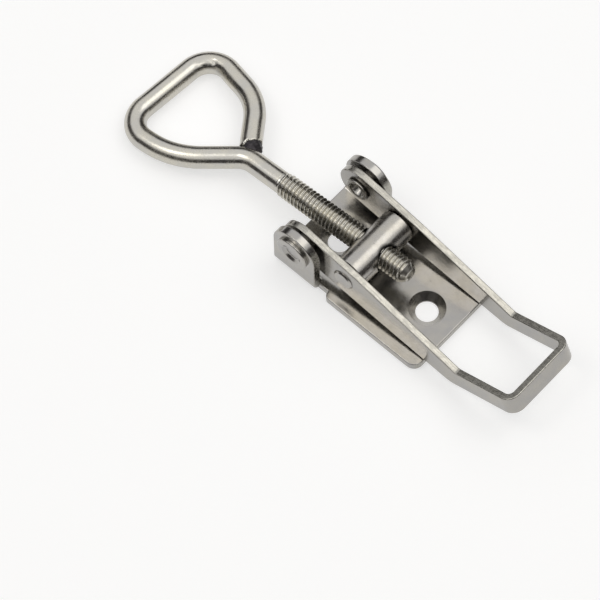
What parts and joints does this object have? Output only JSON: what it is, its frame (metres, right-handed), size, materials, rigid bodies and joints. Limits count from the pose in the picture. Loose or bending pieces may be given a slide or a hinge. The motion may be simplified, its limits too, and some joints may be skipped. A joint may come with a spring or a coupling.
{
  "type": "over centre toggle latch",
  "caption": "Over centre toggle latch with a screw-down base, a folded lever and a threaded wire loop hook that a pivoting barrel draws in past centre.",
  "frame": {"origin": "middle of the two base screw holes, on the underside of the base", "axes": "+X along the latch towards the finger end of the lever, the hook reaches out to -X, +Y across, +Z away from the mounting surface"},
  "size_m": [0.1133, 0.0302, 0.0168],
  "materials": {
    "base_sheet": "polished stainless sheet",
    "lever_sheet": "polished stainless strip",
    "turned_steel": "turned and polished stainless",
    "wire": "polished stainless wire",
    "rivet_steel": "polished stainless rivet"
  },
  "bodies": {
    "base": {"base_plate": "base_sheet", "rivet_near": "rivet_steel", "rivet_far": "rivet_steel"},
    "lever": {"handle": "lever_sheet"},
    "trunnion": {"barrel": "turned_steel"},
    "hook": {"hook_rod": "wire"}
  },
  "joints": [
    {"name": "handle_pivot", "type": "hinge", "parent": "base", "child": "lever", "pos_m": [-0.0143, 0, 0.011], "axis": [0, -1, 0], "range_deg": [0, 160]},
    {"name": "barrel_pivot", "type": "hinge", "parent": "lever", "child": "trunnion", "pos_m": [-0.0026, 0, 0.0096], "axis": [0, -1, 0], "range_deg": [-160, 0]},
    {"name": "hook_adjust", "type": "slide", "parent": "trunnion", "child": "hook", "axis": [0.9938, 0, 0.1115], "range_m": [-0.005, 0.018]}
  ],
  "couplings": [
    {"joint": "barrel_pivot", "follows": "handle_pivot", "ratio": -1}
  ]
}
